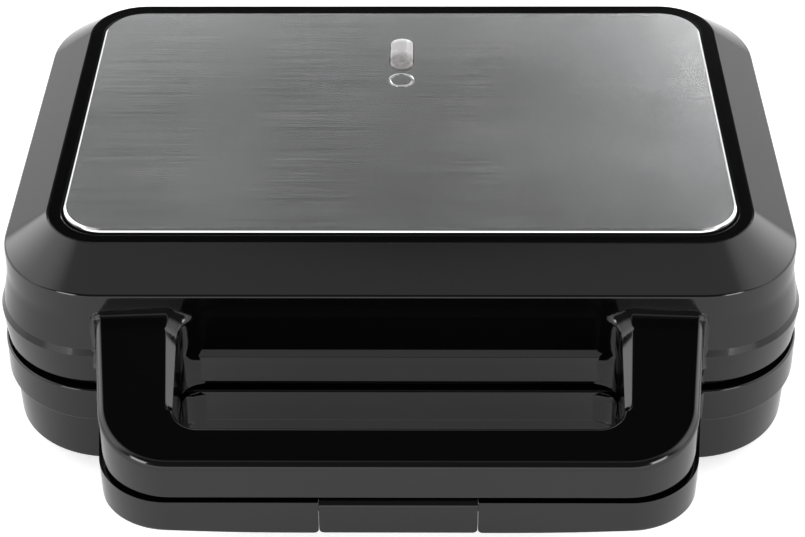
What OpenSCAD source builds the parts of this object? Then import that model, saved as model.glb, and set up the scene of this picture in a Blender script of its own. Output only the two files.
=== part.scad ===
// Two-slice deep-fill sandwich toaster: a hinged lid over a base, each with a pocketed cooking
// plate, a looped handle on both halves and a clip that locks the two loops together.
// Millimetres. Front is -Y, the feet stand on z = 0.
// Wall sections are given as [distance outside the core rectangle, height], so one section swept
// round the core makes a moulding whose corners are all concentric.

/* [Body outline] */
// Width over the shoulder edge of the lid
body_w = 277.4; // [250:0.2:310]
// Depth over the shoulder edge of the lid
body_d = 191; // [170:0.2:220]
// Corner radius at the shoulder edge
corner_r = 36.3; // [34:0.1:40]
// Wall thickness of the mouldings
wall = 2.4; // [2:0.1:3]

/* [Heights] */
// Height of the rubber feet below the base
foot_h = 6; // [4:0.5:10]
// Height of the base, underside to parting line
base_h = 34; // [32:0.5:40]
// Gap between base and lid at the parting line
part_gap = 3; // [2.5:0.1:4]
// Height of the lid, parting line to the rim of its top
lid_h = 46.4; // [44:0.2:52]
// Drop of the sloping shoulder of the lid
shoulder_drop = 10.7; // [8:0.1:13]
// Run of the sloping shoulder of the lid
shoulder_run = 16.1; // [14:0.1:18]

/* [Wall section] */
// Outward flare of the lid wall at its crest
lid_flare = 3.3; // [2:0.1:4.5]
// Height of the crest above the lid's lower edge
crest_h = 11; // [10:0.2:14]
// Height over which the wall flares
flare_h = 12; // [8:0.5:14]
// Step in below the crest
crest_step = 1.3; // [0.8:0.1:2]
// Bulge of the base flange beyond the lid's shoulder edge
base_bulge = 3.9; // [3:0.1:4.5]
// Height of the base flange
base_flange_h = 14; // [12:0.5:16]
// Step in below the base flange
base_step = 2; // [1:0.1:3]
// Edge radius under the base
base_edge_r = 1.6; // [1:0.1:2]

/* [Top panel] */
// Width of the black band round the steel panel
band_w = 4.8; // [3:0.1:7]
// Thickness of the steel panel
panel_t = 1; // [0.6:0.1:1.5]
// How far the panel stands above the band
panel_proud = 0.5; // [0.2:0.1:0.8]
// Corner radius of the steel panel
panel_r = 16; // [14:0.5:18]
// Width of the indicator lens
lens_w = 8.8; // [7:0.1:11]
// Length of the indicator lens
lens_l = 22; // [18:0.5:26]
// Distance of the lens from the back edge of the panel
lens_back = 21.6; // [14:0.2:30]
// Radius of the raised ring in front of the lens
ring_r = 4.4; // [3:0.1:6]
// Distance of the ring's centre in front of the lens
ring_gap = 8; // [6.5:0.5:12]

/* [Handles] */
// Reach of the handles in front of the lid's shoulder edge
handle_reach = 58.5; // [52:0.5:66]
// Distance of the handle roots inside the ends of the straight front wall
handle_in = 0.1; // [0:0.1:10]
// Spread of each handle arm towards its root
handle_spread = 4.3; // [2:0.1:6]
// Width of each handle arm at the finger opening
arm_w = 21; // [18:0.5:26]
// Depth of the handle's front bar
bar_d = 12.2; // [12:0.1:15]
// Height of the upper handle's front face
upper_bar_h = 15; // [14:0.5:18]
// Height of the lower handle's front face
lower_bar_h = 13; // [12:0.5:15]
// Slope of the upper handle's top, degrees
handle_slope = 15; // [10:0.5:16]
// Slope of the lower handle's underside, degrees
lower_slope = 6; // [2:0.5:8]
// Outer corner radius of the handles
handle_r = 24; // [18:0.5:26]
// Edge rounding on top of the upper handle
handle_edge = 3.4; // [2:0.1:4]
// Edge rounding under the lower handle
lower_edge = 1.8; // [1:0.1:2.4]
// Gap between the two handles
handle_gap = 2; // [1.5:0.1:2.5]
// Wall left round the cover plates let into the handles
handle_skin = 2; // [1.6:0.1:2.6]
// Thickness of the cover plates
cover_t = 1.6; // [1.2:0.1:2]
// Distance of the cover plates' ends in front of the lid's shoulder edge
cover_end = 9.5; // [8:0.5:14]

/* [Latch] */
// Width of the latch clip
clip_w = 52; // [40:1:60]
// Thickness of the clip's front wall
clip_t = 2.2; // [2:0.1:2.4]
// Radius of the latch pin
latch_pin_r = 1.5; // [1.2:0.1:1.6]
// Width of the clip's tongue
tongue_w = 16; // [12:1:22]
// Thickness of the clip's tongue
tongue_t = 1.8; // [1.4:0.1:2]

/* [Hinge] */
// Gap between the hinge knuckles and the base
hinge_gap = 0.2; // [0.2:0.1:1.5]
// Radius of the hinge knuckles
knuckle_r = 4.6; // [4.2:0.1:4.8]
// Radius of the steel hinge pins
hinge_pin_r = 2; // [1.6:0.1:2.4]
// Distance of each hinge inside the end of the straight rear wall
hinge_in = 30.4; // [22:0.2:50]
// Width of the lid's knuckle
knuckle_w = 22; // [16:1:28]
// Width of each ear on the base
ear_w = 7; // [5:0.5:9]

/* [Cooking plates] */
// Depth of the bread pockets below the plate's flange
pocket_depth = 17; // [14:0.5:17.5]
// Flat rim between each pocket and the plate's side edge
side_flat = 9.4; // [8:0.2:14]
// Flat rim between each pocket and the plate's front and back edges
end_flat = 10.2; // [8:0.2:15]
// Corner radius of a pocket at the flange
pocket_r = 19; // [14:0.5:22]
// Slope of the pocket walls, as run over the full depth
pocket_draft = 7; // [4:0.5:9]
// Thickness of the cast plates
cast_t = 3; // [2.5:0.1:3.5]
// Width of the flat flange between the two pockets
centre_flat = 10; // [8:0.5:14]
// Gap between the two plates when shut
plate_gap = 0.5; // [0.4:0.1:1]
// Width of the cutting ridge at its top
ridge_w = 3; // [2:0.2:5]
// Width of the plates beyond the core rectangle
plate_grow = 25; // [24:0.5:26]

/* [Heating] */
// Radius of the tubular heating elements
element_r = 3.2; // [2.6:0.1:3.4]
// Distance of the element's loop inside the plate's side edges
element_side = 39.4; // [36:0.2:50]
// Distance of the element's loop inside the plate's front and back edges
element_end = 38.2; // [38:0.2:48]

/* [Feet and inlet] */
// Radius of the rubber feet
foot_r = 9; // [7:0.5:10]
// Distance of the feet's centres inside the base's sides
foot_in_x = 39.6; // [32:0.2:55]
// Distance of the feet's centres inside the base's front and back
foot_in_y = 12.9; // [11.9:0.2:14.9]
// Distance of the cord inlet from the centre line
inlet_x = 30; // [26:1:40]
// Bore of the cord inlet bush
inlet_r = 3.6; // [3:0.1:3.8]

/* [Hidden] */
$fn = 64;

// Clearances
run_clear = 0.05; // radial gap of a pin that turns in its bore
slip = 0.2; // gap round a piece that drops into its seat
free_gap = 0.3; // gap between pieces that pass each other

// Core rectangle, and distances outside it
core = [body_w / 2 - corner_r, body_d / 2 - corner_r];
wall_o = corner_r;
crest_o = wall_o + lid_flare;
flange_o = crest_o - crest_step;
rim_o = wall_o - shoulder_run;
bulge_o = wall_o + base_bulge;
lower_o = bulge_o - base_step;
base_rim_o = bulge_o - 1.8;
panel_o = rim_o - band_w;
cover_grow = 18;
cover_lap = 6;
liner_o = flange_o - wall - slip;
liner_in = plate_grow + slip;
ledge_in = plate_grow - 5;

// Heights of the mouldings
base_z = foot_h;
base_top = base_z + base_h;
lid_z = base_top + part_gap;
rim_z = lid_z + lid_h;
shoulder_z = rim_z - shoulder_drop;
mid_z = (base_top + lid_z) / 2;
floor_t = 3.6;
floor_z = base_z + floor_t;
deck_t = wall;
deck_z = rim_z - panel_t - 1.2;
deck_under = deck_z - deck_t;
panel_z = rim_z + 0.1 + panel_proud;
panel_under = panel_z - panel_t;

// Front and back, and the shift that centres the whole toaster on the origin
front_y = -(body_d / 2 + handle_reach);
hinge_y = core.y + max(crest_o, bulge_o) + knuckle_r + hinge_gap;
hinge_back = hinge_y - core.y - crest_o;
hinge_x = core.x - hinge_in;
hinge_z = mid_z;
rear_y = hinge_y + knuckle_r;
body_y = -(front_y + rear_y) / 2;

// Lid: ribs under the panel, and the indicator lamp
rib_t = 2;
rib_x = [-84, -42, 42, 84];
rib_y = [-40, 0];
post_r = 3.5;
bolt_boss_r = 5;
bolt_boss_l = 6.4;
lens_y = core.y + panel_o - lens_back - lens_l / 2;
lens_lip = 1.2;
lamp_r = 2.4;
lamp_l = 8.4;
holder_h = 12;
holder_wall = 4;
holder_floor = 2;
fuse_r = 2;
fuse_l = 12;
wire_r = 0.5;
wire_l = 34;

// Handles
handle_w = 2 * (core.x - handle_in - handle_spread);
handle_z = mid_z + handle_gap / 2 - 0.5;
lower_top = handle_z - handle_gap;
upper_front_z = handle_z + upper_bar_h;
lower_front_z = lower_top - lower_bar_h;
root_y = -(core.y + wall_o) + 4;
arm_in = handle_w / 2 - arm_w;
arm_mid = (arm_in + handle_w / 2) / 2;
opening_front = front_y + bar_d;
opening_back = -(core.y + crest_o - 0.1);
opening_back_low = -(core.y + bulge_o + 0.8);
opening_front_r = 8;
opening_back_r = 5;
corner_c = [handle_w / 2 - handle_r, front_y + handle_r];
handle_bolt_x = arm_mid + 1;
handle_bolt_r = 2;
handle_bolt_l = 22;
handle_bolt_y = -(core.y + wall_o - wall - 4);
bolt_head = [3.6, 2.4]; // radius and height
upper_bolt_z = lid_z + 20;
lower_bolt_z = base_top - 12;

// Covers of the handles and their screws
cover_depth = handle_reach - handle_skin - cover_end;
cover_screw_y = [front_y + 20, front_y + handle_skin + cover_depth - 7];
cover_screw_r = 1.4;
cover_head_r = 2.6;
cover_screw_l = 9;
upper_notch = tongue_w + 6;
lower_notch = clip_w + 12;

// Latch: the clip turns about its pin in a pocket of the lower handle
latch_y = front_y + 4.5;
latch_z = lower_top - 3;
latch_pin_l = clip_w + 9;
hub_r = latch_pin_r + 1.4;
clip_slot = 0.4;
clip_drop = 0.8;
clip_corner = 1;
clip_web = 2.4;
pocket_wall = 1.9;
tongue_top = handle_z + 4.6;
nib_h = 1.8;
nib_tip = latch_y - 1.1;
catch_h = 2.1;
chamber = [tongue_w + 4, 8.2];
chamber_front = latch_y - 2.4;

// Cooking plates, measured from the middle of the parting gap
plate_half = plate_gap / 2;
flange_under = plate_half + cast_t;
pan_under = plate_half + pocket_depth + cast_t;
pocket_w = core.x + plate_grow - side_flat - centre_flat / 2;
pocket_d = 2 * (core.y + plate_grow - end_flat);
pocket_c = (pocket_w + centre_flat) / 2;
floor_r = pocket_r - 6;
ridge_drop = 1.2;
ridge_foot = 13;
screw_grow = plate_grow - 3.5;
screw_at = core + [screw_grow, screw_grow] / sqrt(2);
plate_screw_r = 1.5;
plate_head_r = 2.9;
plate_screw_l = 20;
boss_r = 4;
liner_t = 2.2;
liner_boss_h = 9.25;
liner_skirt = 6.5;

// Heating: element, shield, and what holds the shield
element_w = 2 * (core.x + plate_grow - element_side);
element_d = 2 * (core.y + plate_grow - element_end);
element_bend = 25;
shield_at = pan_under + 2 * element_r + 1.5;
shield_t = 0.8;
shield_o = 10;
shield_rim = 5;
shield_post = [84, 26];

// Base: hinge ears, feet, bottom cover screws, and the cord inlet in the rear wall
foot_x = core.x + lower_o - foot_in_x;
foot_y = core.y + lower_o - foot_in_y;
stem_r = 3;
cover_boss_r = 3.4;
bottom_screw_r = 1.5;
bottom_head_r = 2.8;
bottom_screw_l = 8;
cover_boss_h = 8;
boss_x = 60;
slot_x = 45;
slot_step = 8;
slot_w = 3.2;
slot_l = 44;
inlet_z = base_z + 11.5;
inlet_neck_r = inlet_r + 2.2;
inlet_out = 3;
inlet_tail = 2.5;
ear_x = (knuckle_w + ear_w) / 2 + free_gap;

function ease(t) = (1 - cos(180 * t)) / 2;
function arc(c, r, from, to, steps) =
    [for (i = [0 : steps]) let (a = from + (to - from) * i / steps) c + r * [cos(a), sin(a)]];

// ---- shared construction ----

// Puts a piece that is drawn about the panel centre into its place
module seated() translate([0, body_y, 0]) children();

// Sweeps a 2-D section round a core rectangle: x is the distance outside it, y is height
module around(c = core) {
    for (turn = [0, 180]) rotate([0, 0, turn]) {
        translate([c.x, c.y, 0]) rotate([90, 0, 0]) linear_extrude(2 * c.y) children();
        translate([c.x, c.y, 0]) rotate_extrude(angle = 90) children();
        rotate([0, 0, 90]) {
            translate([c.y, c.x, 0]) rotate([90, 0, 0]) linear_extrude(2 * c.x) children();
            translate([c.y, c.x, 0]) rotate_extrude(angle = 90) children();
        }
    }
}

// Flat slab whose edge lies a distance outside the core rectangle
module slab(grow, z, h, c = core) {
    translate([0, 0, z]) linear_extrude(h) rounded_rect([2 * (c.x + grow), 2 * (c.y + grow)], grow);
}

module rounded_rect(size, r) {
    square([size.x - 2 * r, size.y], center = true);
    square([size.x, size.y - 2 * r], center = true);
    for (sx = [-1, 1], sy = [-1, 1])
        translate([sx * (size.x / 2 - r), sy * (size.y / 2 - r)]) circle(r);
}

module stadium(w, l) {
    square([w, l - w], center = true);
    for (s = [-1, 1]) translate([0, s * (l - w) / 2]) circle(w / 2);
}

// The four corner screw places of a cooking plate
module at_plate_screws() {
    for (sx = [-1, 1], sy = [-1, 1]) translate([sx * screw_at.x, sy * screw_at.y, 0]) children();
}

module at_shield_posts() {
    for (sx = [-1, 1], sy = [-1, 1])
        translate([sx * shield_post.x, sy * shield_post.y, 0]) children();
}

// Turns a piece of the lower half over into the upper half
module in_upper_half() translate([0, 0, mid_z]) children();
module in_lower_half() translate([0, 0, mid_z]) mirror([0, 0, 1]) children();

// Screw with a pan head, head upwards at z = 0, shank downwards
module pan_screw(r, len, head) {
    translate([0, 0, -len]) cylinder(r = r, h = len + head[1] / 2);
    cylinder(r = head[0], h = head[1]);
}

// ---- lid ----

lid_outer = concat(
    [[flange_o - 0.5, lid_z], [flange_o, lid_z + 0.5], [flange_o, lid_z + crest_h - 2.2]],
    [[flange_o + 0.3, lid_z + crest_h - 1.5], [crest_o - 0.3, lid_z + crest_h - 0.5]],
    [for (i = [0 : 8]) [crest_o - lid_flare * ease(i / 8), lid_z + crest_h + 0.4 + flare_h * i / 8]],
    arc([wall_o - 2, shoulder_z - 0.7], 2, 0, 57, 4),
    [[rim_o + 0.6, rim_z - 0.1], [rim_o + 0.2, rim_z]]
);
lid_inner = [
    [rim_o, deck_z], [rim_o - 3, deck_z], [rim_o - 3, deck_under],
    [rim_o + 1.4, deck_under], [wall_o - wall - 1.2, shoulder_z - 2.2],
    [wall_o - wall, shoulder_z - 4.2], [wall_o - wall, lid_z + crest_h + flare_h],
    [flange_o - wall, lid_z + crest_h + 3], [flange_o - wall, lid_z]
];

module lid_section() polygon(concat(lid_outer, lid_inner));

// Everything the outside of the lid encloses, carried on downwards, to cut what meets it
module lid_envelope() {
    around() polygon(concat([[0, mid_z - 3], [flange_o, mid_z - 3]],
        [for (i = [1 : len(lid_outer) - 1]) lid_outer[i]], [[0, rim_z]]));
    translate([-core.x, -core.y, mid_z - 3]) cube([2 * core.x, 2 * core.y, rim_z - mid_z + 3]);
}

module lid_knuckles() {
    for (s = [-1, 1]) translate([s * hinge_x - knuckle_w / 2, hinge_y, hinge_z])
        rotate([90, 0, 90]) linear_extrude(knuckle_w) {
            circle(knuckle_r);
            polygon([[-knuckle_r * sin(45), -knuckle_r * cos(45) + 1.2], [0, knuckle_r],
                [-hinge_back - 1, crest_h + 4], [-hinge_back - 3, crest_h],
                [-hinge_back - 3, 3], [-hinge_back - 2, 2.2]]);
        }
}

module lid_housing() color("#17181a") seated() {
    difference() {
        union() {
            around() lid_section();
            slab(rim_o - 2, deck_under, deck_t);
            // ribs that carry the steel panel
            for (x = rib_x) translate([x - rib_t / 2, -core.y, deck_z - 1])
                cube([rib_t, 2 * core.y, panel_under - deck_z + 1]);
            for (y = rib_y) translate([-core.x, y - rib_t / 2, deck_z - 1])
                cube([2 * core.x, rib_t, panel_under - deck_z + 1]);
            // posts for the plate screws and the heat shield
            at_plate_screws() translate([0, 0, mid_z + flange_under + liner_boss_h])
                cylinder(r = boss_r, h = deck_under - 1 - mid_z - flange_under - liner_boss_h);
            at_shield_posts() translate([0, 0, mid_z + shield_at + shield_t])
                cylinder(r = post_r, h = deck_under + 1 - mid_z - shield_at - shield_t);
            at_handle_bolts(upper_bolt_z) cylinder(r = bolt_boss_r, h = bolt_boss_l);
            lid_knuckles();
        }
        translate([0, lens_y, deck_under - 1]) linear_extrude(2 * deck_t)
            stadium(lens_w + slip, lens_l + slip);
        at_plate_screws() translate([0, 0, mid_z])
            cylinder(r = plate_screw_r + run_clear, h = plate_screw_l + 4);
        at_handle_bolts(upper_bolt_z) translate([0, 0, -body_d / 2])
            cylinder(r = handle_bolt_r + run_clear, h = body_d);
        at_hinges() cylinder(r = hinge_pin_r + run_clear, h = 2 * knuckle_w, center = true);
    }
}

module lid_trim_band() color("#0a0a0b") seated() {
    top = panel_z - panel_proud;
    ledge = 4;
    around() polygon([[panel_o - ledge, deck_z], [rim_o, deck_z], [rim_o, top - 0.4],
        [rim_o - 0.4, top], [panel_o + slip + 0.3, top],
        [panel_o + slip, panel_under], [panel_o - ledge, panel_under]]);
}

module steel_top_panel() color("#9a9c9e") seated() {
    half = core + [panel_o - panel_r, panel_o - panel_r];
    bevel = 0.45;
    difference() {
        union() {
            around(half) polygon([[0, panel_under], [panel_r, panel_under],
                [panel_r, panel_z - bevel], [panel_r - bevel, panel_z], [0, panel_z]]);
            translate([-half.x, -half.y, panel_under]) cube([2 * half.x, 2 * half.y, panel_t]);
            // raised ring in front of the lens
            translate([0, lens_y - lens_l / 2 - ring_gap, panel_z - 0.1])
                rotate_extrude() translate([ring_r, 0]) circle(0.4);
        }
        translate([0, lens_y, 0]) linear_extrude(2 * rim_z) stadium(lens_w + slip, lens_l + slip);
    }
}

module indicator_lens() color("#e8e6e0") seated() translate([0, lens_y, 0]) {
    lens_top = panel_z + 0.3;
    dome_h = 1;
    translate([0, 0, deck_under]) linear_extrude(lens_top - deck_under) stadium(lens_w, lens_l);
    translate([0, 0, deck_under - lens_lip]) linear_extrude(lens_lip)
        stadium(lens_w + 2 * lens_lip, lens_l + 2 * lens_lip);
    // domed top: a run of shallow cylinder between two part spheres
    dome_r = (pow(lens_w / 2, 2) / dome_h + dome_h) / 2;
    intersection() {
        translate([0, 0, lens_top - dome_h / 2]) linear_extrude(1.5 * dome_h) stadium(lens_w, lens_l);
        translate([0, 0, lens_top + dome_h - dome_r]) {
            rotate([90, 0, 0]) cylinder(r = dome_r, h = lens_l - lens_w, center = true);
            for (s = [-1, 1]) translate([0, s * (lens_l - lens_w) / 2, 0]) sphere(dome_r);
        }
    }
}

module lamp_holder() color("#e4e1d8") seated()
    translate([0, lens_y, deck_under - holder_h]) difference() {
        linear_extrude(holder_h)
            rounded_rect([lens_w + 2 * holder_wall, lens_l + 2 * holder_wall], holder_wall / 2);
        translate([0, 0, holder_h - lens_lip]) linear_extrude(2 * lens_lip)
            stadium(lens_w + 2 * lens_lip + slip, lens_l + 2 * lens_lip + slip);
        for (s = [-1, 1]) translate([0, s * lens_l / 4, holder_floor])
            cylinder(r = lamp_r + slip, h = holder_h);
    }

module neon_lamps() color("#d98a4a") seated()
    for (s = [-1, 1]) translate([0, lens_y + s * lens_l / 4, deck_under - holder_h + holder_floor]) {
        cylinder(r = lamp_r, h = lamp_l - lamp_r);
        translate([0, 0, lamp_l - lamp_r]) sphere(lamp_r);
    }

// ---- handles ----

// Plan of the finger opening, its front corners wide and its rear corners tight
module grip_plan(grow = 0, back = opening_back) {
    front_r = opening_front_r + grow;
    rear_r = opening_back_r + grow;
    w = arm_in + grow;
    y0 = opening_front - grow;
    y1 = back + grow;
    translate([-w, y0 + front_r]) square([2 * w, y1 - rear_r - y0 - front_r]);
    translate([-w + front_r, y0]) square([2 * (w - front_r), 2 * front_r]);
    translate([-w + rear_r, y1 - 2 * rear_r]) square([2 * (w - rear_r), 2 * rear_r]);
    for (s = [-1, 1]) {
        translate([s * (w - front_r), y0 + front_r]) circle(front_r);
        translate([s * (w - rear_r), y1 - rear_r]) circle(rear_r);
    }
}

// Raises what lies behind the front face by a slope
module on_slope(z, angle)
    multmatrix([[1, 0, 0, 0], [0, 1, 0, 0], [0, tan(angle), 1, z - front_y * tan(angle)]]) children();

// Solid between a flat level and a sloping one, with its outer edges rounded. side is 1 where
// the slope is on top and -1 where it is underneath.
module handle_body(flat_z, slope_z, angle, edge, side) {
    ease_r = 1;
    root_x = handle_w / 2 + handle_spread - edge;
    hull() for (s = [-1, 1]) {
        on_slope(slope_z, angle) {
            translate([s * corner_c.x, corner_c.y, -side * edge])
                rotate_extrude($fn = 48) translate([handle_r - edge, 0]) circle(edge, $fn = 24);
            translate([s * root_x, root_y, -side * edge])
                rotate([90, 0, 0]) cylinder(r = edge, h = ease_r, $fn = 24);
        }
        for (c = [[corner_c.x, corner_c.y, handle_r], [root_x, root_y, edge]])
            translate([s * c.x, c.y, flat_z]) scale([1, 1, side])
                cylinder(r1 = c.z - ease_r, r2 = c.z, h = ease_r, $fn = 48);
    }
}

// Widens the upper edge of the finger opening, which leaves a bevel round it
module opening_bevel(depth, widen) {
    hull() for (lift = [-depth, 3]) on_slope(upper_front_z + lift, handle_slope)
        linear_extrude(0.5) grip_plan(lift < 0 ? 0 : widen * (depth + 3) / depth, root_y);
}

// U-shaped cover plates let into the flat side of a handle, parted by a notch at the clip
module cover_plan(notch, grow = 0) {
    inset = handle_skin - grow;
    depth = cover_depth + 2 * grow;
    difference() {
        translate([0, front_y + inset + depth / 2 + handle_r])
            rounded_rect([handle_w - 2 * inset, depth + 2 * handle_r], handle_r - inset);
        translate([-handle_w, front_y + inset + depth]) square([2 * handle_w, body_d]);
        translate([0, opening_front - inset + handle_reach])
            rounded_rect([2 * (arm_in + inset), 2 * handle_reach], opening_front_r - handle_skin);
        translate([-notch / 2 + grow, front_y]) square([notch - 2 * grow, 2 * bar_d]);
    }
}

module at_cover_screws() {
    for (s = [-1, 1], y = cover_screw_y) translate([s * arm_mid, y, 0]) children();
}

// Screw with a flush head: head at z = 0, shank upwards
module flush_screw(r, len, head_r, clear = 0) {
    cylinder(r = r + clear, h = len + clear);
    cylinder(r1 = head_r + clear, r2 = r + clear, h = head_r - r);
}

module at_handle_bolts(z) {
    for (s = [-1, 1]) translate([s * handle_bolt_x, handle_bolt_y, z]) rotate([90, 0, 0]) children();
}

module upper_handle() color("#151617") seated() {
    difference() {
        handle_body(handle_z, upper_front_z, handle_slope, handle_edge, 1);
        lid_envelope();
        linear_extrude(lid_z + crest_h) grip_plan();
        translate([0, 0, lid_z + crest_h - 1]) linear_extrude(rim_z) grip_plan(0, root_y);
        opening_bevel(handle_edge, handle_edge * 0.4);
        opening_bevel(handle_edge * 0.4, handle_edge * 0.7);
        // chamber round the clip's tongue, seats of the covers, and screw holes
        translate([0, chamber_front + chamber.y / 2, handle_z - 1])
            linear_extrude(tongue_top - handle_z + 2.2) square(chamber, center = true);
        translate([0, 0, handle_z - 1]) linear_extrude(cover_t + 1) cover_plan(upper_notch, slip);
        at_cover_screws() translate([0, 0, handle_z])
            cylinder(r = cover_screw_r + run_clear, h = cover_screw_l + 1);
        at_handle_bolts(upper_bolt_z) cylinder(r = handle_bolt_r + run_clear, h = handle_bolt_l + 1);
    }
    // catch that the clip's nib hooks over
    translate([-tongue_w / 2, chamber_front - slip, handle_z + free_gap])
        cube([tongue_w, nib_tip - free_gap - chamber_front + slip, catch_h]);
}

module upper_handle_cover() color("#1a1b1d") seated() difference() {
    translate([0, 0, handle_z]) linear_extrude(cover_t) cover_plan(upper_notch);
    at_cover_screws() translate([0, 0, handle_z])
        flush_screw(cover_screw_r, cover_t, cover_head_r, run_clear);
}

module upper_cover_screws() color("#8d9092") seated()
    at_cover_screws() translate([0, 0, handle_z]) flush_screw(cover_screw_r, cover_screw_l, cover_head_r);

module upper_handle_bolts() color("#8d9092") seated()
    at_handle_bolts(upper_bolt_z) mirror([0, 0, 1]) pan_screw(handle_bolt_r, handle_bolt_l, bolt_head);

module lower_handle() color("#151617") seated() difference() {
    handle_body(lower_top, lower_front_z, -lower_slope, lower_edge, -1);
    base_envelope();
    translate([0, 0, base_z]) linear_extrude(base_top) grip_plan(0, opening_back_low);
    // pocket of the clip, open to the front, above and below
    translate([-clip_w / 2 - clip_slot, front_y - 1, base_z])
        cube([clip_w + 2 * clip_slot, bar_d - pocket_wall + 1, base_top]);
    translate([0, latch_y, latch_z]) rotate([0, 90, 0])
        cylinder(r = latch_pin_r + run_clear, h = latch_pin_l + 2 * run_clear, center = true);
    translate([0, 0, lower_top - cover_t]) linear_extrude(base_top) cover_plan(lower_notch, slip);
    at_cover_screws() translate([0, 0, lower_top - cover_screw_l - 1])
        cylinder(r = cover_screw_r + run_clear, h = cover_screw_l);
    at_handle_bolts(lower_bolt_z) cylinder(r = handle_bolt_r + run_clear, h = handle_bolt_l + 1);
}

module lower_handle_cover() color("#1a1b1d") seated() difference() {
    translate([0, 0, lower_top - cover_t]) linear_extrude(cover_t) cover_plan(lower_notch);
    at_cover_screws() translate([0, 0, lower_top]) mirror([0, 0, 1])
        flush_screw(cover_screw_r, cover_t, cover_head_r, run_clear);
}

module lower_cover_screws() color("#8d9092") seated()
    at_cover_screws() translate([0, 0, lower_top]) mirror([0, 0, 1])
        flush_screw(cover_screw_r, cover_screw_l, cover_head_r);

module lower_handle_bolts() color("#8d9092") seated()
    at_handle_bolts(lower_bolt_z) mirror([0, 0, 1]) pan_screw(handle_bolt_r, handle_bolt_l, bolt_head);

module latch_pin() color("#b9bcbe") seated() translate([0, latch_y, latch_z]) rotate([0, 90, 0])
    cylinder(r = latch_pin_r, h = latch_pin_l, center = true);

module latch_clip() color("#202123") seated() {
    face_h = lower_top - clip_drop - lower_front_z;
    difference() {
        union() {
            translate([0, front_y + clip_t, lower_front_z + face_h / 2]) rotate([90, 0, 0])
                linear_extrude(clip_t) rounded_rect([clip_w, face_h], clip_corner);
            translate([0, latch_y, latch_z]) rotate([0, 90, 0])
                cylinder(r = hub_r, h = clip_w, center = true);
            translate([-clip_w / 2, front_y + clip_t - 0.5, latch_z - clip_web / 2])
                cube([clip_w, latch_y - front_y - clip_t + 0.5, clip_web]);
            translate([-tongue_w / 2, latch_y - 0.1, latch_z])
                cube([tongue_w, tongue_t, tongue_top - latch_z]);
            translate([-tongue_w / 2, nib_tip, tongue_top - nib_h])
                cube([tongue_w, latch_y - nib_tip, nib_h]);
        }
        translate([0, latch_y, latch_z]) rotate([0, 90, 0])
            cylinder(r = latch_pin_r + run_clear, h = clip_w + 2, center = true);
    }
}

// ---- cooking halves: drawn for the lid, z measured up from the middle of the parting gap ----

module liner() {
    face = lid_z - mid_z;
    difference() {
        union() {
            around() polygon([[liner_in, face], [liner_o, face], [liner_o, liner_skirt],
                [liner_o - liner_t, liner_skirt], [liner_o - liner_t, face + liner_t],
                [liner_in + liner_t, face + liner_t], [liner_in + liner_t, flange_under + liner_t],
                [ledge_in, flange_under + liner_t], [ledge_in, flange_under],
                [liner_in, flange_under]]);
            at_plate_screws() translate([0, 0, flange_under]) cylinder(r = boss_r, h = liner_boss_h);
        }
        at_plate_screws() cylinder(r = plate_screw_r + run_clear, h = 2 * liner_boss_h);
    }
}

// Bread pocket as a tapered form, its mouth at the flange
module pocket_form(grow, mouth, depth) {
    mouth_size = [pocket_w + 2 * grow, pocket_d + 2 * grow];
    hull() {
        translate([0, 0, mouth]) linear_extrude(0.5 + plate_half + 0.5 - mouth)
            rounded_rect(mouth_size, pocket_r + grow, $fn = 32);
        translate([0, 0, plate_half + depth - 0.5]) linear_extrude(0.5)
            rounded_rect(mouth_size - 2 * [pocket_draft, pocket_draft], floor_r + grow, $fn = 32);
    }
}

// Ridge that cuts and seals a sandwich corner to corner
module cutting_ridge(turn) {
    top = plate_half + ridge_drop;
    foot = plate_half + pocket_depth + 1;
    rotate([0, 0, turn * atan(pocket_d / pocket_w)]) rotate([90, 0, 90])
        linear_extrude(2 * pocket_d, center = true)
            polygon([[-ridge_w / 2, top], [ridge_w / 2, top], [ridge_foot / 2, foot],
                [-ridge_foot / 2, foot]]);
}

module cooking_plate(ridge_turn) {
    difference() {
        union() {
            slab(plate_grow, plate_half, cast_t);
            for (s = [-1, 1]) translate([s * pocket_c, 0, 0])
                pocket_form(cast_t, plate_half, pocket_depth + cast_t);
        }
        for (s = [-1, 1]) translate([s * pocket_c, 0, 0]) pocket_form(0, -1, pocket_depth);
        at_plate_screws() translate([0, 0, plate_half])
            flush_screw(plate_screw_r, cast_t + 2, plate_head_r, run_clear);
    }
    for (s = [-1, 1]) translate([s * pocket_c, 0, 0]) intersection() {
        cutting_ridge(s * ridge_turn);
        pocket_form(0.5, plate_half, pocket_depth + 0.5);
    }
}

module plate_screws() at_plate_screws() translate([0, 0, plate_half])
    flush_screw(plate_screw_r, plate_screw_l, plate_head_r);

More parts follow.
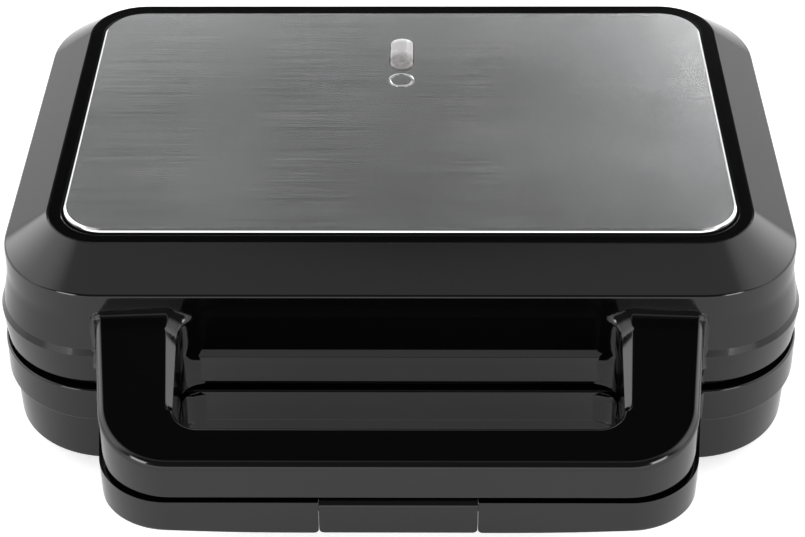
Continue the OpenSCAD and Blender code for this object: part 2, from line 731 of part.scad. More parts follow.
// Tubular element: a loop with rounded corners whose two ends turn back to the rear
module heating_element() {
    bend = element_bend;
    turn = 10;
    leg_x = 20;
    leg_l = 4;
    seal_l = 3;
    tab = [4.8, 6, 0.8];
    x = element_w / 2;
    y = element_d / 2;
    translate([0, 0, pan_under + element_r + run_clear]) for (s = [0, 1]) mirror([s, 0, 0]) {
        translate([x, -y + bend, 0]) rotate([-90, 0, 0]) cylinder(r = element_r, h = 2 * (y - bend));
        translate([0, -y, 0]) rotate([0, 90, 0]) cylinder(r = element_r, h = x - bend);
        translate([leg_x + turn, y, 0]) rotate([0, 90, 0])
            cylinder(r = element_r, h = x - bend - leg_x - turn);
        tube_bend([x - bend, y - bend, 0], 0, bend);
        tube_bend([x - bend, -y + bend, 0], -90, bend);
        tube_bend([leg_x + turn, y + turn, 0], 180, turn);
        translate([leg_x, y + turn, 0]) rotate([-90, 0, 0]) {
            cylinder(r = element_r, h = leg_l);
            translate([0, 0, leg_l]) cylinder(r1 = element_r, r2 = element_r - 0.8, h = seal_l);
        }
        translate([leg_x - tab.x / 2, y + turn + leg_l + seal_l - 1, -tab.z / 2]) cube(tab);
    }
}

// Quarter bend of the element's tube
module tube_bend(at, angle, r)
    translate(at) rotate([0, 0, angle]) rotate_extrude(angle = 90)
        translate([r, 0]) circle(element_r);

module heat_shield() {
    slab(shield_o - 0.4, shield_at, shield_t);
    around() polygon([[shield_o - shield_t, shield_at - shield_rim],
        [shield_o, shield_at - shield_rim], [shield_o, shield_at + shield_t],
        [shield_o - shield_t, shield_at + shield_t]]);
}

module upper_liner() color("#1b1c1e") seated() in_upper_half() liner();
module upper_cooking_plate() color("#2a2b2d") seated() in_upper_half() cooking_plate(1);
module upper_plate_screws() color("#8d9092") seated() in_upper_half() plate_screws();
module upper_heating_element() color("#6b6560") seated() in_upper_half() heating_element();
module upper_heat_shield() color("#c4c6c8") seated() in_upper_half() heat_shield();
module lower_liner() color("#1b1c1e") seated() in_lower_half() liner();
module lower_cooking_plate() color("#2a2b2d") seated() in_lower_half() cooking_plate(1);
module lower_plate_screws() color("#8d9092") seated() in_lower_half() plate_screws();
module lower_heating_element() color("#6b6560") seated() in_lower_half() heating_element();
module lower_heat_shield() color("#c4c6c8") seated() in_lower_half() heat_shield();

// Disc thermostat on the right-hand pan, with a terminal on either side
module thermostat() color("#b8a58a") seated() in_upper_half() {
    cap_r = 8;
    tab = [6, 0.8, 1.8];
    translate([pocket_c, 0, pan_under]) {
        cylinder(r = cap_r, h = 3);
        cylinder(r = cap_r - 1.5, h = 6.6);
        for (s = [-1, 1]) translate([s * cap_r - tab.x / 2, -tab.y / 2, 4.6]) cube(tab);
    }
}

// Fuse with its two wire ends, resting on the left-hand pan
module thermal_fuse() color("#c9a24b") seated() in_upper_half()
    translate([-pocket_c, 0, pan_under + fuse_r]) rotate([0, 90, 0]) {
        cylinder(r = fuse_r, h = fuse_l, center = true);
        cylinder(r = wire_r, h = wire_l, center = true);
    }

// ---- base ----

base_outer = concat(
    arc([lower_o - base_edge_r, base_z + base_edge_r], base_edge_r, -90, 0, 4),
    [[lower_o, base_top - base_flange_h - 0.4], [bulge_o - 0.3, base_top - base_flange_h + 0.4],
        [bulge_o, base_top - 10.5], [bulge_o - 0.1, base_top - 8], [bulge_o - 0.6, base_top - 4.5],
        [bulge_o - 1.3, base_top - 0.9], [base_rim_o, base_top]]
);
base_inner = [
    [base_rim_o - wall, base_top], [lower_o - wall, base_top - base_flange_h],
    [lower_o - wall, floor_z], [cover_grow - cover_lap, floor_z],
    [cover_grow - cover_lap, base_z + floor_t / 2], [cover_grow + slip, base_z + floor_t / 2],
    [cover_grow + slip, base_z]
];

module base_envelope() {
    above = base_top + 4;
    around() polygon(concat([[0, base_z]], base_outer, [[base_rim_o, above], [0, above]]));
    translate([-core.x, -core.y, base_z]) cube([2 * core.x, 2 * core.y, above - base_z]);
}

module base_ears() {
    for (s = [-1, 1], t = [-1, 1])
        translate([s * hinge_x + t * ear_x - ear_w / 2, hinge_y, hinge_z])
            rotate([90, 0, 90]) linear_extrude(ear_w) {
                circle(knuckle_r);
                polygon([[knuckle_r, 0], [knuckle_r - 2, -8], [-hinge_back + 1, -base_flange_h - 2],
                    [-hinge_back - 3, -base_flange_h - 4], [-hinge_back - 3, -part_gap / 2],
                    [-knuckle_r + 0.2, 1]]);
            }
}

module at_cover_bosses() {
    for (s = [-1, 1]) {
        translate([s * (core.x + cover_grow - cover_lap / 2), 0, 0]) children();
        for (t = [-1, 1])
            translate([s * boss_x, t * (core.y + cover_grow - cover_lap / 2), 0]) children();
    }
}

module at_feet() {
    for (sx = [-1, 1], sy = [-1, 1]) translate([sx * foot_x, sy * foot_y, 0]) children();
}

module at_hinges() {
    for (s = [-1, 1]) translate([s * hinge_x, hinge_y, hinge_z]) rotate([0, 90, 0]) children();
}

module base_housing() color("#17181a") seated() difference() {
    union() {
        around() polygon(concat(base_outer, base_inner));
        at_plate_screws() translate([0, 0, floor_z - 1])
            cylinder(r = boss_r, h = mid_z - flange_under - liner_boss_h - floor_z + 1);
        at_cover_bosses() translate([0, 0, floor_z - 1]) cylinder(r = cover_boss_r, h = cover_boss_h);
        at_handle_bolts(lower_bolt_z) cylinder(r = bolt_boss_r, h = bolt_boss_l);
        base_ears();
    }
    at_plate_screws() translate([0, 0, mid_z - plate_screw_l - 4])
        cylinder(r = plate_screw_r + run_clear, h = plate_screw_l + 4);
    at_cover_bosses() cylinder(r = bottom_screw_r + run_clear, h = floor_z + 6);
    at_feet() translate([0, 0, base_z - 1]) cylinder(r = stem_r + run_clear, h = floor_t + 2);
    at_handle_bolts(lower_bolt_z) cylinder(r = handle_bolt_r + run_clear, h = handle_bolt_l);
    at_hinges() cylinder(r = hinge_pin_r + run_clear, h = 3 * knuckle_w, center = true);
    at_inlet() translate([0, 0, -20]) cylinder(r = inlet_neck_r + slip / 2, h = 40);
}

module hinge_pins() color("#b9bcbe") seated()
    at_hinges() cylinder(r = hinge_pin_r, h = 2 * ear_x + ear_w, center = true);

module bottom_cover() color("#1d1e20") seated() difference() {
    union() {
        slab(cover_grow, base_z, floor_t / 2);
        at_shield_posts() translate([0, 0, base_z + 1])
            cylinder(r = post_r, h = mid_z - shield_at - shield_t - base_z - 1);
    }
    // cooling slots
    for (s = [-1, 1], i = [-3 : 3]) translate([s * slot_x + i * slot_step, 0, base_z - 1])
        linear_extrude(floor_t + 1) stadium(slot_w, slot_l);
    at_cover_bosses() translate([0, 0, base_z])
        flush_screw(bottom_screw_r, floor_t, bottom_head_r, run_clear);
}

module bottom_cover_screws() color("#8d9092") seated()
    at_cover_bosses() translate([0, 0, base_z])
        flush_screw(bottom_screw_r, bottom_screw_l, bottom_head_r);

module rubber_feet() color("#101010") seated() at_feet() rotate_extrude() polygon([[0, 0],
    [foot_r - 1.8, 0], [foot_r - 1, 0.7], [foot_r - 0.5, base_z], [stem_r, base_z],
    [stem_r, floor_z], [0, floor_z]]);

// The cord inlet's axis points out of the back
module at_inlet() translate([inlet_x, core.y + lower_o, inlet_z]) rotate([-90, 0, 0]) children();

module cord_inlet_bush() color("#101112") seated() at_inlet() rotate_extrude() polygon([
    [inlet_r, -wall - slip / 2 - inlet_tail], [inlet_neck_r + 0.8, -wall - slip / 2 - inlet_tail],
    [inlet_neck_r + 1.2, -wall - slip / 2], [inlet_neck_r, -wall - slip / 2],
    [inlet_neck_r, slip / 2], [inlet_neck_r + 2, slip / 2], [inlet_neck_r + 1.4, inlet_out],
    [inlet_r + 0.6, inlet_out], [inlet_r, inlet_out - 0.6]]);

// Three screw clamps in a row, with their wire holes front to back
module terminal_block() color("#d9d6cc") seated() {
    pitch = 10;
    depth = 12;
    height = 13;
    setback = 2.5;
    wire_hole_r = 2;
    wire_hole_z = 5;
    clamp_hole_r = 2.2;
    clamp_hole_z = 9;
    slot_w = 1.2;
    slot_z = 7;
    translate([-1.5 * pitch, core.y + cover_grow + setback, floor_z]) difference() {
        cube([3 * pitch, depth, height]);
        for (i = [0 : 2]) translate([pitch * (i + 0.5), 0, 0]) {
            translate([0, -1, wire_hole_z]) rotate([-90, 0, 0])
                cylinder(r = wire_hole_r, h = depth + 2);
            translate([0, depth / 2, clamp_hole_z]) cylinder(r = clamp_hole_r, h = height);
        }
        for (i = [1, 2]) translate([pitch * i - slot_w / 2, -1, slot_z])
            cube([slot_w, depth + 2, height]);
    }
}

lid_housing();
lid_trim_band();
steel_top_panel();
indicator_lens();
lamp_holder();
neon_lamps();
upper_handle();
upper_handle_cover();
upper_handle_bolts();
upper_cover_screws();
upper_liner();
upper_cooking_plate();
upper_plate_screws();
upper_heating_element();
upper_heat_shield();
thermostat();
thermal_fuse();
base_housing();
bottom_cover();
bottom_cover_screws();
rubber_feet();
lower_liner();
lower_cooking_plate();
lower_plate_screws();
lower_heating_element();
lower_heat_shield();
lower_handle();
lower_handle_cover();
lower_handle_bolts();
lower_cover_screws();
terminal_block();
cord_inlet_bush();
hinge_pins();
latch_pin();
latch_clip();
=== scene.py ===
from math import ceil, cos, degrees, pi, radians, sin, sqrt, tan

import bmesh
import bpy
from mathutils import Matrix, Vector


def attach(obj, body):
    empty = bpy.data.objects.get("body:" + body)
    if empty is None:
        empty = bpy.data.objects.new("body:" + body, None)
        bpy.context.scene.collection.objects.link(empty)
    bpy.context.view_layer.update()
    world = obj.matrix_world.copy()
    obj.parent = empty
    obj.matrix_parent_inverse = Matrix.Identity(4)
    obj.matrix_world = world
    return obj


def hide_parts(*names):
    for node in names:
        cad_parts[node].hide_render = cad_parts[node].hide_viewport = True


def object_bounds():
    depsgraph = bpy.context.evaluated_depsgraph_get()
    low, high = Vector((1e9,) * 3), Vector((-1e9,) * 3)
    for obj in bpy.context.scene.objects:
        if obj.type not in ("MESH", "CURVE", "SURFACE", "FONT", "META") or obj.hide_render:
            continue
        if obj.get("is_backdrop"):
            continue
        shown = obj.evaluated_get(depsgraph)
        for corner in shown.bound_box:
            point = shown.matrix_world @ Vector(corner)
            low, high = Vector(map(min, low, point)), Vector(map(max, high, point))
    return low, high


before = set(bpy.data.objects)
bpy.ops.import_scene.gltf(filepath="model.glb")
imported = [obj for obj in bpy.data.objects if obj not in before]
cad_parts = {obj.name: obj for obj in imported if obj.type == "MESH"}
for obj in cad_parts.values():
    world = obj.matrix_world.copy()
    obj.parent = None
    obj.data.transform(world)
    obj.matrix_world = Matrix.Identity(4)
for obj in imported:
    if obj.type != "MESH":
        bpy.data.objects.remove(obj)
cad_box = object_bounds()

# Camera: it stands in front of the toaster and a little above it, about 0.78 m from the
# middle of the lid, and looks down on the steel panel with a long lens.
CAMERA_PLACE = (0.0068, -0.6006, 0.4957)
CAMERA_PAN, CAMERA_TILT, CAMERA_ROLL = radians(0.605), radians(52.5), radians(-0.325)
LENS_LENGTH, FILM_WIDTH = 89.4, 36
camera = bpy.data.cameras.new("camera")
camera.lens, camera.sensor_width = LENS_LENGTH, FILM_WIDTH
camera.clip_start = 0.05
camera_stand = bpy.data.objects.new("camera", camera)
camera_stand.matrix_world = (Matrix.Translation(CAMERA_PLACE) @ Matrix.Rotation(CAMERA_PAN, 4, "Z")
                             @ Matrix.Rotation(CAMERA_TILT, 4, "X")
                             @ Matrix.Rotation(CAMERA_ROLL, 4, "Z"))
bpy.context.scene.collection.objects.link(camera_stand)
bpy.context.scene.camera = camera_stand
bpy.context.scene.view_settings.view_transform = "Standard"


# Floor and studio: a plain white table top in a dim tent with soft lamps round it. A black
# card hangs above and behind the toaster, so that its level glossy faces stay black and its
# slopes stay grey.
class Value:
    """A shader socket that takes part in Python sums, which add Math nodes. A bar (|) takes
    the larger of two."""

    def __init__(self, tree, socket):
        self.tree, self.socket = tree, socket

    def math(self, operation, first, second=0.0):
        node = self.tree.nodes.new("ShaderNodeMath")
        node.operation = operation
        for socket, value in zip(node.inputs, (first, second)):
            if isinstance(value, Value):
                self.tree.links.new(value.socket, socket)
            else:
                socket.default_value = value
        return Value(self.tree, node.outputs[0])

    def __add__(self, other):
        return self.math("ADD", self, other)

    def __sub__(self, other):
        return self.math("SUBTRACT", self, other)

    def __rsub__(self, other):
        return self.math("SUBTRACT", other, self)

    def __mul__(self, other):
        return self.math("MULTIPLY", self, other)

    def __truediv__(self, other):
        return self.math("DIVIDE", self, other)

    def __neg__(self):
        return self.math("MULTIPLY", self, -1.0)

    def __abs__(self):
        return self.math("ABSOLUTE", self)

    def __or__(self, other):
        return self.math("MAXIMUM", self, other)

    __radd__ = __add__
    __rmul__ = __mul__


class Finish:
    """A node tree of a material or of the world, whose nodes are added one by one."""

    def __init__(self, owner):
        owner.use_nodes = True
        self.owner, self.tree = owner, owner.node_tree
        self.tree.nodes.clear()

    def add(self, kind, settings=None, sockets=None, out=0):
        """Adds a node: its settings first, then the values or links of its sockets."""
        node = self.tree.nodes.new("ShaderNode" + kind)
        for name, value in (settings or {}).items():
            setattr(node, name, value)
        for name, value in (sockets or {}).items():
            if isinstance(value, Value):
                self.tree.links.new(value.socket, node.inputs[name])
            else:
                node.inputs[name].default_value = value
        return Value(self.tree, node.outputs[out]) if node.outputs else node

    def blend(self, mask, low, high):
        """Colour between two colours, each three numbers or a link."""
        pair = {6: low, 7: high}
        pair = {k: v if isinstance(v, Value) else (*v, 1) for k, v in pair.items()}
        return self.add("Mix", {"data_type": "RGBA"}, {0: mask, **pair}, out=2)

    def step(self, value, start, end):
        """0 before start and 1 after end, with a smooth rise between them."""
        return self.add("MapRange", {"interpolation_type": "SMOOTHSTEP"},
                        {"Value": value, "From Min": start, "From Max": end})


# How bright each part of the studio is. The steps below say where it starts and ends: as a
# direction's part to the right (x), to the back (y) or up (z), each from -1 to 1.
AIR, CARD = 0.13, 0.02  # dim tent in front and overhead, black card behind
HORIZON = 1.05  # low all round
FRONT_WALL, SIDE_BOX = 1.8, 2.3  # a wall behind the camera, a soft box on either side
TOP_STRIP = 0.70  # a bowed lamp overhead, in front of the card
BACK_LOW, BACK_HIGH = 1.8, 1.6  # two strips behind the toaster, below the card and above it
BACK_FALL = 2.6  # how fast both get dimmer to the right
RIGHT_STRIP = 22.0  # a narrow lamp in the lower strip, on the right

studio = bpy.data.worlds.new("studio")
bpy.context.scene.world = studio
sky = Finish(studio)
way_x = sky.add("SeparateXYZ", None, {"Vector": sky.add("TexCoord")})
way_y = Value(sky.tree, way_x.socket.node.outputs[1])
way_z = Value(sky.tree, way_x.socket.node.outputs[2])
aside, bearing = abs(way_x), way_x / (way_y | 0.1)
air = AIR - (AIR - CARD) * sky.step(way_y, -0.16, 0.06)
horizon = HORIZON * (1 - sky.step(way_z, 0.08, 0.22))
front_wall = FRONT_WALL * sky.step(-way_y, 0.3, 0.6) * (1 - sky.step(way_z, 0.14, 0.36))
side_box = (SIDE_BOX * sky.step(aside, 0.3, 0.75) * sky.step(way_z, 0.03, 0.2)
            * (1 - sky.step(way_z, 0.82, 0.98)) * sky.step(way_y, -0.55, -0.2)
            * (0.9 + 0.6 * sky.step(way_y, 0.1, 0.6)))
bow = abs(way_y + 0.30 - 0.67 * (way_x * way_x))
top_strip = (TOP_STRIP * (1 - sky.step(bow - 0.1 * aside, 0.03, 0.06)) * sky.step(way_z, 0.5, 0.7)
             * (1 - sky.step(aside, 0.5, 0.8)))
right = sky.step(bearing, 0.165, 0.2) * (1 - sky.step(bearing, 0.22, 0.28))
low = sky.step(way_y, 0.5, 0.7) * (1 - sky.step(way_z, 0.36, 0.47))
high = sky.step(way_y, 0.40, 0.48) * (1 - sky.step(way_y, 0.66, 0.71)) * sky.step(way_z, 0.66, 0.72)
back = ((BACK_LOW * low + BACK_HIGH * high) * (1 - BACK_FALL * bearing)
        * (1 - sky.step(abs(bearing), 0.25, 0.35))
        + RIGHT_STRIP * right * low * sky.step(way_z, 0.1, 0.2))
glow = air | horizon | front_wall | side_box | top_strip | back
seen = sky.add("LightPath")
sky.add("OutputWorld", None, {"Surface": sky.add("Background", None, {
    "Color": (1, 1, 1, 1), "Strength": seen + glow * (1 - seen)})})

FLOOR_HALF = 8.0
FLOOR_WHITE, FLOOR_FLECK = (0.86, 0.86, 0.86), (0.8514, 0.8514, 0.8514)
FLOOR_GLOW, FLOOR_MIRRORED = (0.62, 0.62, 0.62), (0.35, 0.35, 0.35)  # to the camera, in gloss
table_top = Finish(bpy.data.materials.new("table_top"))
is_seen = table_top.add("LightPath")
is_mirrored = Value(table_top.tree, is_seen.socket.node.outputs["Is Glossy Ray"])
place = table_top.add("TexCoord", out=3)
fleck = table_top.add("TexNoise", None, {"Vector": place, "Scale": 900.0})
table_top.add("OutputMaterial", None, {"Surface": table_top.add("BsdfPrincipled", None, {
    "Base Color": table_top.blend(fleck, FLOOR_WHITE, FLOOR_FLECK),
    "Roughness": 0.9,
    "Emission Color": table_top.blend(
        is_seen, table_top.blend(is_mirrored, (0, 0, 0), FLOOR_MIRRORED), FLOOR_GLOW),
    "Emission Strength": 1.0})})

bm = bmesh.new()
bmesh.ops.create_grid(bm, x_segments=1, y_segments=1, size=FLOOR_HALF)
floor_mesh = bpy.data.meshes.new("floor")
bm.to_mesh(floor_mesh)
bm.free()
floor_mesh.materials.append(table_top.owner)
floor = bpy.data.objects.new("floor", floor_mesh)
bpy.context.scene.collection.objects.link(floor)
floor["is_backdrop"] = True

BOX_SIZE, BOX_POWER, BOX_PLACE = 0.42, 4.6, (0.93, -1.03, 0.56)
for side in (-1, 1):
    box = bpy.data.lights.new("soft_box", "AREA")
    box.size, box.energy = BOX_SIZE, BOX_POWER
    lamp = bpy.data.objects.new("soft_box", box)
    lamp.location = (side * BOX_PLACE[0], *BOX_PLACE[1:])
    lamp.rotation_euler = lamp.location.to_track_quat("Z", "Y").to_euler()
    lamp.visible_camera = False
    bpy.context.scene.collection.objects.link(lamp)


# Lid housing: the upper moulding, glossy black plastic of 2.4 mm. A flat rim carries the trim
# band, a flat shoulder runs all round it, and the wall flares out to a crest above a step. Two
# lugs at the back turn on the hinge pins.
MM = 0.001  # sizes are in millimetres; "out" is a distance outside the core rectangle
BODY_Y = 22.6  # the middle of the panel lies this far behind the origin
CORE = (102.4, 59.2)  # centres of the corner curves
CORNER_STEPS = 20
WALL = 2.4  # thickness of both mouldings
RIM_OUT, RIM_Z, SHOULDER_Z = 20.2, 89.4, 78.7
DECK_TOP, DECK_UNDER, DECK_IN = 87.2, 84.8, 17.2
LID_WALL = ((38.7, 43.0), (39.5, 54.9), (38.3, 57.2), (36.3, 68.5), (36.3, 78.7))  # (out, z)
LID_SQUARE, SQUARE_DROP = 2.5, 20  # how much squarer its lower corners are, and how far down


def rounded(corners, step=8):
    """Points along a line whose corners (out, z, radius) are rounded, one every few degrees."""
    points = []
    for i, (x, z, radius) in enumerate(corners):
        at = Vector((x, z))
        if radius == 0:
            points.append(tuple(at))
            continue
        before = (at - Vector(corners[i - 1][:2])).normalized()
        after = (Vector(corners[(i + 1) % len(corners)][:2]) - at).normalized()
        turn = before.angle_signed(after)
        reach = radius * tan(abs(turn) / 2)
        side = 1 if turn > 0 else -1
        centre = at - before * reach + side * radius * Vector((before.y, -before.x))
        arm = at - before * reach - centre
        steps = max(2, ceil(abs(degrees(turn)) / step))
        for k in range(steps + 1):
            points.append(tuple(centre + Matrix.Rotation(-turn * k / steps, 2) @ arm))
    return points


def sweep(section, core=CORE, closed=False, square=0):
    """Sweeps a section, points (distance outside the core, height), round a core rectangle.
    Square makes the corners tighter below the shoulder."""
    bm = bmesh.new()
    start = [bm.verts.new((core[0] + out, 0, z)) for out, z in section]
    ends = start[1:] + start[:1] if closed else start[1:]
    line = [bm.edges.new(pair) for pair in zip(start, ends)]
    line = pulled(bm, line, (0, core[1], 0))
    turned = bmesh.ops.spin(bm, geom=line, cent=(*core, 0), axis=(0, 0, 1), angle=pi / 2,
                            steps=CORNER_STEPS, use_merge=False, use_duplicate=False)
    line = [e for e in turned["geom_last"] if isinstance(e, bmesh.types.BMEdge)]
    pulled(bm, line, (-core[0], 0, 0))
    for v in bm.verts:
        arm = Vector((v.co.x - core[0], v.co.y - core[1]))
        if square and min(arm) > -1e-4:
            shift = square * min(1, max(0, (SHOULDER_Z - v.co.z) / SQUARE_DROP))
            arm += (Vector((1, 1)) - arm.normalized()) * shift
            v.co.xy = core[0] + arm.x, core[1] + arm.y
    for axis in "XY":
        bmesh.ops.mirror(bm, geom=bm.verts[:] + bm.edges[:] + bm.faces[:], matrix=Matrix(),
                         merge_dist=0.001, axis=axis)
    bmesh.ops.recalc_face_normals(bm, faces=bm.faces)
    return bm


def pulled(bm, edges, way):
    """Pulls faces out of edges and returns the edges at their far end."""
    made = bmesh.ops.extrude_edge_only(bm, edges=edges)["geom"]
    moved = {v for v in made if isinstance(v, bmesh.types.BMVert)}
    bmesh.ops.translate(bm, verts=list(moved), vec=way)
    return [e for e in made if isinstance(e, bmesh.types.BMEdge) and set(e.verts) <= moved]


def ease_edges(bm, edges, radius, segments):
    """Rounds edges off."""
    bmesh.ops.bevel(bm, geom=[e for e in edges if e.is_valid], offset=radius,
                    offset_type="OFFSET", affect="EDGES", segments=segments, profile=0.5,
                    material=-1, clamp_overlap=True)


def prism(bm, outline, x, width, ease, foot=0):
    """Adds a solid with an outline of points (y, z) across x, its edges eased and its two
    lowest corners rounded."""
    face = bm.faces.new([bm.verts.new((x - width / 2, y, z)) for y, z in outline])
    far = bmesh.ops.extrude_face_region(bm, geom=[face])["geom"]
    moved = [v for v in far if isinstance(v, bmesh.types.BMVert)]
    bmesh.ops.translate(bm, verts=moved, vec=(width, 0, 0))
    caps = [face] + [f for f in far if isinstance(f, bmesh.types.BMFace)]
    if foot:
        low = min(v.co.z for v in moved)
        corner = {e for f in caps for e in f.edges if all(v.co.z < low + 0.01 for v in e.verts)}
        ease_edges(bm, corner, foot, 6)
        caps = [f for f in caps if f.is_valid]
    ease_edges(bm, {e for f in caps for e in f.edges}, ease, 3)


def placed(bm, name, finish, sharp=38):
    """Makes a piece of a mesh that is drawn in millimetres about the middle of the panel."""
    bmesh.ops.recalc_face_normals(bm, faces=bm.faces)
    bmesh.ops.translate(bm, verts=bm.verts, vec=(0, BODY_Y, 0))
    bmesh.ops.scale(bm, verts=bm.verts, vec=(MM, MM, MM))
    mesh = bpy.data.meshes.new(name)
    bm.to_mesh(mesh)
    bm.free()
    mesh.shade_smooth()
    mesh.set_sharp_from_angle(angle=radians(sharp))
    mesh.materials.append(finish)
    piece = bpy.data.objects.new(name, mesh)
    bpy.context.scene.collection.objects.link(piece)
    level = piece.modifiers.new("even_normals", "WEIGHTED_NORMAL")  # flats shade flat
    level.weight, level.keep_sharp = 80, True
    return piece


def moulded(name, colour, rough, spread=0.25, scale=60.0, depth=0.02, metal=0.0):
    """A finish whose colour, roughness and surface vary with a soft grain. Spread is the share
    by which the colour varies, scale the size of the clouds, and depth that of the grain."""
    made = Finish(bpy.data.materials.new(name))
    spot = made.add("TexCoord", out=3)
    broad = made.add("TexNoise", None, {"Vector": spot, "Scale": scale / 8, "Detail": 3.0})
    fine = made.add("TexNoise", None, {"Vector": spot, "Scale": scale * 12, "Detail": 4.0})
    dark, light = (tuple(c * k for c in colour) for k in (1 - spread, 1 + spread))
    made.add("OutputMaterial", None, {"Surface": made.add("BsdfPrincipled", None, {
        "Base Color": made.blend(broad * 0.6 + fine * 0.4, dark, light),
        "Roughness": rough * (0.85 + 0.3 * broad),
        "Metallic": metal,
        "Normal": made.add("Bump", None, {"Strength": 0.3, "Distance": depth * MM,
                                          "Height": fine})})})
    return made.owner


GLOSS_BLACK = (0.0016, 0.0016, 0.0017)
housing_black = moulded("housing_black", GLOSS_BLACK, 0.10, depth=0.012)

(FLANGE_OUT, LID_Z), (LEDGE_OUT, LEDGE_Z), (FOOT_OUT, FOOT_Z), (WALL_OUT, FLARE_Z), _ = LID_WALL
# (out, height, corner radius): under the deck and down the inside of the wall, then up its
# outside, over the shoulder to the rim, and in along the deck.
LID_SECTION = [
    (DECK_IN, DECK_UNDER, 0), (RIM_OUT + 1.4, DECK_UNDER, 1),
    (WALL_OUT - WALL - 0.8, SHOULDER_Z - 2.6, 2), (WALL_OUT - WALL, 66, 1),
    (FLANGE_OUT - WALL, 55, 1), (FLANGE_OUT - WALL, LID_Z, 0.3), (FLANGE_OUT, LID_Z, 0.7),
    (LEDGE_OUT, LEDGE_Z, 0.5), (FOOT_OUT, FOOT_Z, 0.4), (WALL_OUT, FLARE_Z, 20),
    (WALL_OUT, SHOULDER_Z, 1.5), (RIM_OUT + 0.3, RIM_Z, 0.4), (RIM_OUT, RIM_Z, 0.1),
    (RIM_OUT, DECK_TOP, 0), (DECK_IN, DECK_TOP, 0)]
bm = sweep(rounded(LID_SECTION, step=6), square=LID_SQUARE)
bmesh.ops.holes_fill(bm, edges=[e for e in bm.edges if e.is_boundary], sides=0)

HINGE_X, HINGE_Y, HINGE_Z = 72.0, 104.2, 41.5
KNUCKLE_R, KNUCKLE_W, KNUCKLE_STEPS = 4.6, 22.0, 14
LUG_EASE = 0.5
LID_WEB = [(-7.4, 2.2), (-8.4, 3), (-8.4, 11), (-6.4, 15)]  # (y, z) from the hinge pin


def lug(arc_from, arc_to, web):
    """Outline of a hinge lug: an arc round the pin, and the corners of the web beside it."""
    turn = (arc_to - arc_from) / KNUCKLE_STEPS
    arc = [radians(arc_from + turn * i) for i in range(KNUCKLE_STEPS + 1)]
    ring = [(HINGE_Y + KNUCKLE_R * cos(a), HINGE_Z + KNUCKLE_R * sin(a)) for a in arc]
    return ring + [(HINGE_Y + y, HINGE_Z + z) for y, z in web]


for side in (-1, 1):
    prism(bm, lug(60, -135, LID_WEB), side * HINGE_X, KNUCKLE_W, LUG_EASE)
lid_shell = placed(bm, "lid_shell", housing_black)
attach(lid_shell, "lid")
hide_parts("lid_housing")


# Trim band: a separate ring of black plastic, moulded and laid in the rim of the lid. It
# frames the steel panel, whose edge rests on its inner ledge.
BAND_OUT, BAND_IN, BAND_TOP = 20.2, 15.4, 89.1
LEDGE_IN, LEDGE_TOP = 11.4, 89.0  # its inner ledge, which carries the panel
band_satin = moulded("band_satin", GLOSS_BLACK, 0.10, depth=0.02)
bm = sweep(rounded([(LEDGE_IN, DECK_TOP, 0), (BAND_OUT, DECK_TOP, 0), (BAND_OUT, BAND_TOP, 0.4),
                    (BAND_IN, BAND_TOP, 0.3), (BAND_IN, LEDGE_TOP, 0), (LEDGE_IN, LEDGE_TOP, 0)]),
           closed=True)
trim_ring = placed(bm, "trim_ring", band_satin)
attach(trim_ring, "lid")
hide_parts("lid_trim_band")


# Steel panel: 1 mm stainless sheet, brushed from side to side, with a bright cut bevel round
# its edge, an oblong hole for the lens, and a small raised ring pressed in front of the lens.
PANEL_CORE, PANEL_BACK = (101.8, 58.05), 0.45  # it lies a little behind the middle
PANEL_R, PANEL_Z, PANEL_UNDER, PANEL_IN = 15.4, 90.0, 89.0, 11.4
PANEL_CUT, PANEL_EASE, EASE_DROP = 0.22, 0.72, 0.46  # the steep cut, and the facet above it
LENS_Y, LENS_W, LENS_L, LENS_GAP = 42.0, 8.8, 22.0, 0.5
RING_Y, RING_R, BEAD_R, BEAD_RISE = 23.0, 4.4, 0.5, 0.45  # the bead is flatter than round
HAIR, LINES = (60, 13000, 1), (16, 1500, 1)  # scratches to a metre, along and across the brush


def edges_of(verts):
    return list({e for v in verts for e in v.link_edges})


def oblong(bm, width, length, z, y):
    """Adds a loop with round ends, its long side front to back."""
    loop = bmesh.ops.create_circle(bm, cap_ends=False, segments=48, radius=width / 2)["verts"]
    for end in (-1, 1):
        half = [v for v in loop if v.co.y * end > 1e-4]
        bmesh.ops.translate(bm, verts=half, vec=(0, end * (length - width) / 2, 0))
    bmesh.ops.translate(bm, verts=loop, vec=(0, y, z))
    return edges_of(loop)


def steel(name, colour, rough, depth, coarse):
    """Stainless steel brushed along X: scratches far longer than they are wide. Depth is that
    of the finest scratches, and coarse the share by which the colour varies."""
    made = Finish(bpy.data.materials.new(name))
    spot = made.add("TexCoord", out=3)
    hair, line = (made.add("TexNoise", None, {
        "Scale": 1.0, "Detail": detail,
        "Vector": made.add("Mapping", None, {"Vector": spot, "Scale": stretch})})
        for detail, stretch in ((2.0, HAIR), (3.0, LINES)))
    cloud = made.add("TexNoise", None, {"Scale": 14.0, "Detail": 2.0, "Vector": spot})
    mask = hair * 0.4 + line * 0.6
    dark, light = (tuple(c * k for c in colour) for k in (1 - coarse, 1 + coarse))
    made.add("OutputMaterial", None, {"Surface": made.add("BsdfPrincipled", None, {
        "Base Color": made.blend(mask, dark, light),
        "Roughness": rough + 0.10 * line + 0.06 * cloud,
        "Metallic": 1.0,
        "Normal": made.add("Bump", None, {"Strength": 1.0, "Distance": depth * MM,
                                          "Height": hair})})})
    return made.owner


